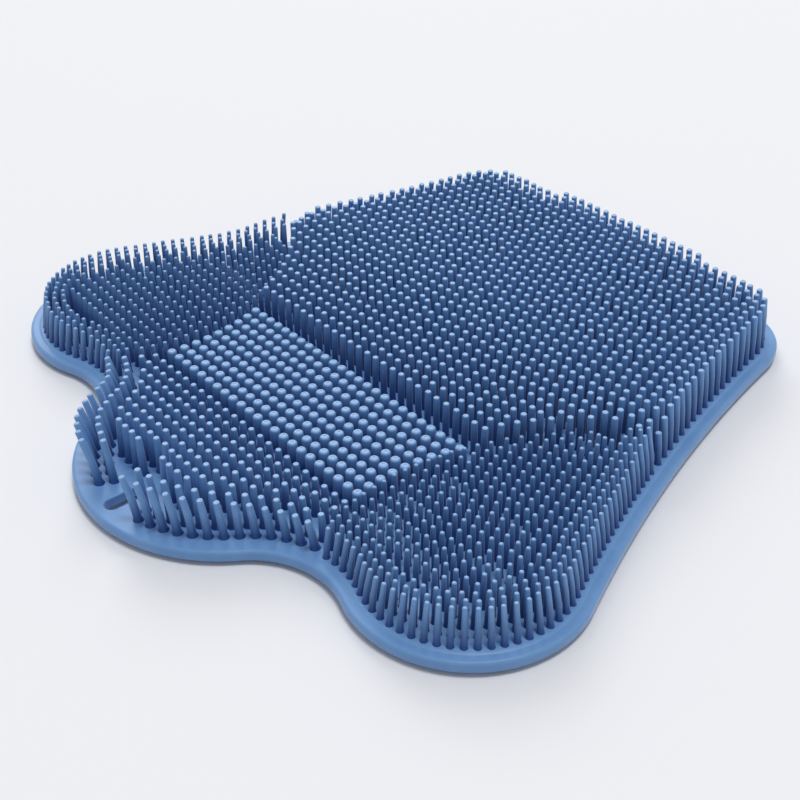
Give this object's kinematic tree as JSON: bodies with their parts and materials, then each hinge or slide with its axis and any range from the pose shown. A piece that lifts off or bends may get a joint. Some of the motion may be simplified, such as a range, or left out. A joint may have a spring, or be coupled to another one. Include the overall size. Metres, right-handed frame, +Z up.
{
  "type": "silicone massage pad",
  "caption": "Flat moulded silicone pad with a lobed outline, a dense field of upright bristles, a block of stout nubs, a hanging slot and suction cups beneath.",
  "frame": {"origin": "centre of the pad's bounding box at the floor, on the rims of the suction cups", "axes": "+X across the pad to its right wing, +Y from the front tab to the rear edge, +Z up"},
  "size_m": [0.2472, 0.2387, 0.0214],
  "materials": {
    "silicone": "matt moulded silicone"
  },
  "bodies": {
    "root": {"massage_pad": "silicone"}
  },
  "joints": []
}
